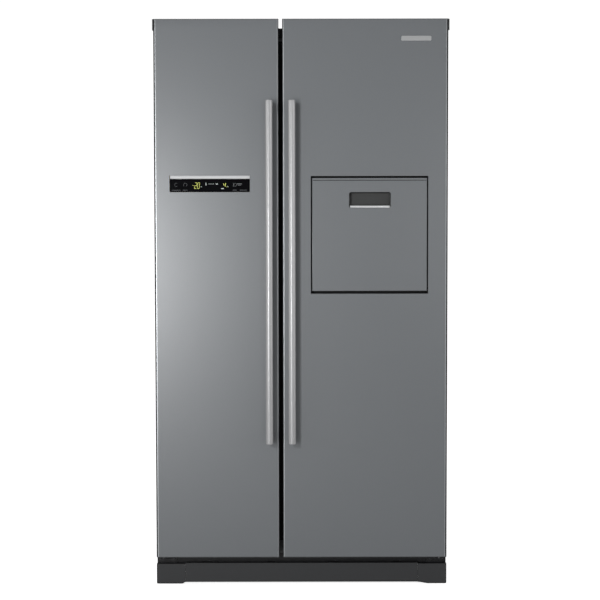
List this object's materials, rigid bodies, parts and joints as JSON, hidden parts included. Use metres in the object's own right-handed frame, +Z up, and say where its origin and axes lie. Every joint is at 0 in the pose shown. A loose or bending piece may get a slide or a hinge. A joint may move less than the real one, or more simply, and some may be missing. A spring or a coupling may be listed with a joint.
{
  "type": "side by side refrigerator",
  "caption": "Tall side by side refrigerator with hinged freezer and refrigerator doors, vertical bar handles, a display strip and a flip-down home bar in the right door.",
  "frame": {"origin": "centre of the overall footprint, on the floor", "axes": "+Z up; the doors face -Y; +X to the right of someone who faces the doors"},
  "size_m": [0.912, 0.735, 1.775],
  "materials": {
    "door_paint": "satin",
    "cabinet_paint": "satin",
    "galvanised": "satin",
    "foam": "matte",
    "white_plastic": "gloss",
    "bin_plastic": "gloss",
    "dark_plastic": "matte",
    "grey_plastic": "matte",
    "gasket_rubber": "matte",
    "black_rubber": "matte",
    "bar_aluminium": "satin",
    "chrome_trim": "polished",
    "display_glass": "gloss",
    "shelf_glass": "gloss",
    "zinc_steel": "satin",
    "black_steel": "satin",
    "fin_aluminium": "satin",
    "pan_plastic": "matte"
  },
  "bodies": {
    "cabinet": {"cabinet_shell": "cabinet_paint", "back_panel": "galvanised", "insulation_foam": "foam", "freezer_liner": "white_plastic", "fridge_liner": "white_plastic", "mullion_rail": "grey_plastic", "top_front_trim": "dark_plastic", "base_frame": "black_steel", "machine_cover": "galvanised", "cable_gland": "black_rubber", "compressor": "black_steel", "condenser_coil": "fin_aluminium", "condenser_fan_shroud": "dark_plastic", "drain_pan": "pan_plastic", "top_hinges": "zinc_steel", "hinge_screws": "zinc_steel", "hinge_covers": "grey_plastic", "bottom_hinges": "black_steel", "base_cover": "grey_plastic", "base_cover_ends": "grey_plastic", "shelf_glass": "shelf_glass", "shelf_trims": "white_plastic", "freezer_rear_duct": "white_plastic", "evaporator": "fin_aluminium", "fridge_rear_duct": "white_plastic", "ice_maker_frame": "white_plastic"},
    "condenser_fan": {"condenser_fan": "dark_plastic"},
    "evaporator_fan": {"evaporator_fan": "dark_plastic"},
    "ice_tray": {"ice_tray": "bin_plastic"},
    "freezer_drawer_lower": {"freezer_drawer_lower": "bin_plastic"},
    "freezer_drawer_upper": {"freezer_drawer_upper": "bin_plastic"},
    "crisper_lower": {"crisper_lower": "bin_plastic"},
    "crisper_upper": {"crisper_upper": "bin_plastic"},
    "front_foot_left": {"front_foot_left": "zinc_steel"},
    "front_foot_right": {"front_foot_right": "zinc_steel"},
    "rear_roller_left": {"rear_roller_left": "dark_plastic"},
    "rear_roller_right": {"rear_roller_right": "dark_plastic"},
    "freezer_door": {"freezer_door_skin": "door_paint", "freezer_door_core": "foam", "freezer_door_liner": "white_plastic", "freezer_door_caps": "grey_plastic", "freezer_door_gasket": "gasket_rubber", "freezer_handle_bar": "bar_aluminium", "freezer_handle_posts": "bar_aluminium", "display_panel": "display_glass", "display_trim": "chrome_trim", "freezer_door_bins": "bin_plastic"},
    "fridge_door": {"fridge_door_skin": "door_paint", "fridge_door_core": "foam", "fridge_door_liner": "white_plastic", "fridge_door_caps": "grey_plastic", "fridge_door_gasket": "gasket_rubber", "fridge_handle_bar": "bar_aluminium", "fridge_handle_posts": "bar_aluminium", "fridge_door_bins": "bin_plastic", "home_bar_frame": "dark_plastic"},
    "home_bar": {"home_bar_panel": "door_paint", "home_bar_core": "white_plastic", "home_bar_grip": "grey_plastic", "home_bar_gasket": "gasket_rubber"}
  },
  "joints": [
    {"name": "freezer_door_hinge", "type": "hinge", "parent": "cabinet", "child": "freezer_door", "pos_m": [-0.432, -0.2855, 0.9], "axis": [0, 0, -1], "range_deg": [0, 130]},
    {"name": "fridge_door_hinge", "type": "hinge", "parent": "cabinet", "child": "fridge_door", "pos_m": [0.432, -0.2855, 0.9], "axis": [0, 0, 1], "range_deg": [0, 130]},
    {"name": "home_bar_hinge", "type": "hinge", "parent": "fridge_door", "child": "home_bar", "pos_m": [0.211, -0.3035, 0.937], "axis": [1, 0, 0], "range_deg": [0, 90]},
    {"name": "freezer_drawer_lower_slide", "type": "slide", "parent": "cabinet", "child": "freezer_drawer_lower", "axis": [0, -1, 0], "range_m": [0, 0.2]},
    {"name": "freezer_drawer_upper_slide", "type": "slide", "parent": "cabinet", "child": "freezer_drawer_upper", "axis": [0, -1, 0], "range_m": [0, 0.2]},
    {"name": "crisper_lower_slide", "type": "slide", "parent": "cabinet", "child": "crisper_lower", "axis": [0, -1, 0], "range_m": [0, 0.2]},
    {"name": "crisper_upper_slide", "type": "slide", "parent": "cabinet", "child": "crisper_upper", "axis": [0, -1, 0], "range_m": [0, 0.2]},
    {"name": "ice_tray_twist", "type": "hinge", "parent": "cabinet", "child": "ice_tray", "pos_m": [-0.243, 0.045, 1.585], "axis": [0, 1, 0], "range_deg": [0, 120], "stiffness_Nm_per_rad": 0.6},
    {"name": "evaporator_fan_spin", "type": "hinge", "parent": "cabinet", "child": "evaporator_fan", "pos_m": [-0.243, 0.28, 1.36], "axis": [0, 1, 0], "continuous": true},
    {"name": "condenser_fan_spin", "type": "hinge", "parent": "cabinet", "child": "condenser_fan", "pos_m": [0.06, 0.265, 0.15], "axis": [1, 0, 0], "continuous": true},
    {"name": "front_foot_left_screw", "type": "slide", "parent": "cabinet", "child": "front_foot_left", "axis": [0, 0, -1], "range_m": [0, 0.012]},
    {"name": "rear_roller_left_axle", "type": "hinge", "parent": "cabinet", "child": "rear_roller_left", "pos_m": [-0.425, 0.32, 0.018], "axis": [1, 0, 0], "continuous": true},
    {"name": "front_foot_right_screw", "type": "slide", "parent": "cabinet", "child": "front_foot_right", "axis": [0, 0, -1], "range_m": [0, 0.012]},
    {"name": "rear_roller_right_axle", "type": "hinge", "parent": "cabinet", "child": "rear_roller_right", "pos_m": [0.425, 0.32, 0.018], "axis": [1, 0, 0], "continuous": true}
  ],
  "couplings": [
    {"joint": "freezer_drawer_lower_slide", "follows": "freezer_door_hinge", "m_per_rad": 0.088},
    {"joint": "freezer_drawer_upper_slide", "follows": "freezer_door_hinge", "m_per_rad": 0.088},
    {"joint": "crisper_lower_slide", "follows": "fridge_door_hinge", "m_per_rad": 0.088},
    {"joint": "crisper_upper_slide", "follows": "fridge_door_hinge", "m_per_rad": 0.088}
  ]
}
